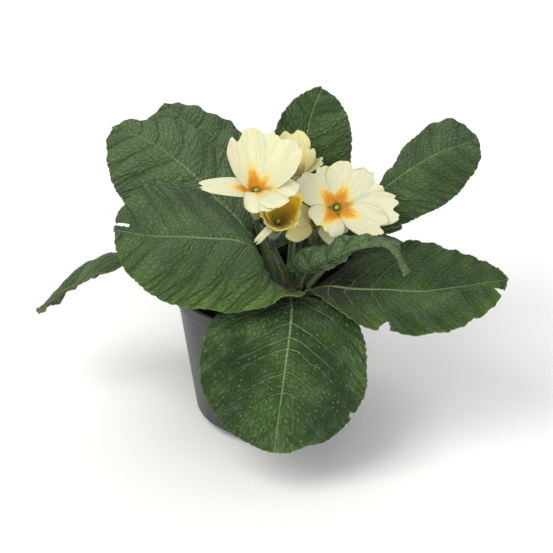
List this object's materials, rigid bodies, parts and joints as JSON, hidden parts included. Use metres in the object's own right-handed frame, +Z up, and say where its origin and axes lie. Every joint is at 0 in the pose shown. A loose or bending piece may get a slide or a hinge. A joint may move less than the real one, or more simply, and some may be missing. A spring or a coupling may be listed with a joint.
{
  "type": "potted primrose",
  "caption": "Flowering primrose with a rosette of wrinkled leaves and pale flowers, growing in a round tapered nursery pot.",
  "frame": {"origin": "centre of the flat underside of the pot", "axes": "+Z up, +X to the right and +Y to the back as seen from the front, where the drooping leaf hangs over the rim"},
  "size_m": [0.2118, 0.1644, 0.1415],
  "materials": {
    "pot": "dark grey moulded plastic, slightly dusty",
    "compost": "dark moist peat with pale specks",
    "rootstock": "rough short crown, green brown",
    "leaf": "wrinkled soft green, paler downy veins and under side",
    "petal": "pale cream yellow with orange marks at the centre",
    "calyx": "pale green ribbed",
    "stalk": "pale green downy",
    "pistil": "pale yellow green"
  },
  "bodies": {
    "root": {"pot": "pot", "compost": "compost", "rootstock": "rootstock", "leaf_front": "leaf", "leaf_front_left": "leaf", "leaf_left": "leaf", "leaf_back_left": "leaf", "leaf_back": "leaf", "leaf_back_right": "leaf", "leaf_right": "leaf", "leaf_far_left": "leaf", "leaf_arched": "leaf", "leaf_low_right": "leaf", "leaf_rear_low_left": "leaf", "leaf_rear_low_right": "leaf", "corolla_right": "petal", "calyx_right": "calyx", "stalk_right": "stalk", "pistil_right": "pistil", "corolla_left": "petal", "calyx_left": "calyx", "stalk_left": "stalk", "pistil_left": "pistil", "corolla_rear": "petal", "calyx_rear": "calyx", "stalk_rear": "stalk", "pistil_rear": "pistil", "corolla_middle": "petal", "calyx_middle": "calyx", "stalk_middle": "stalk", "pistil_middle": "pistil", "corolla_lower": "petal", "calyx_lower": "calyx", "stalk_lower": "stalk", "pistil_lower": "pistil"}
  },
  "joints": []
}
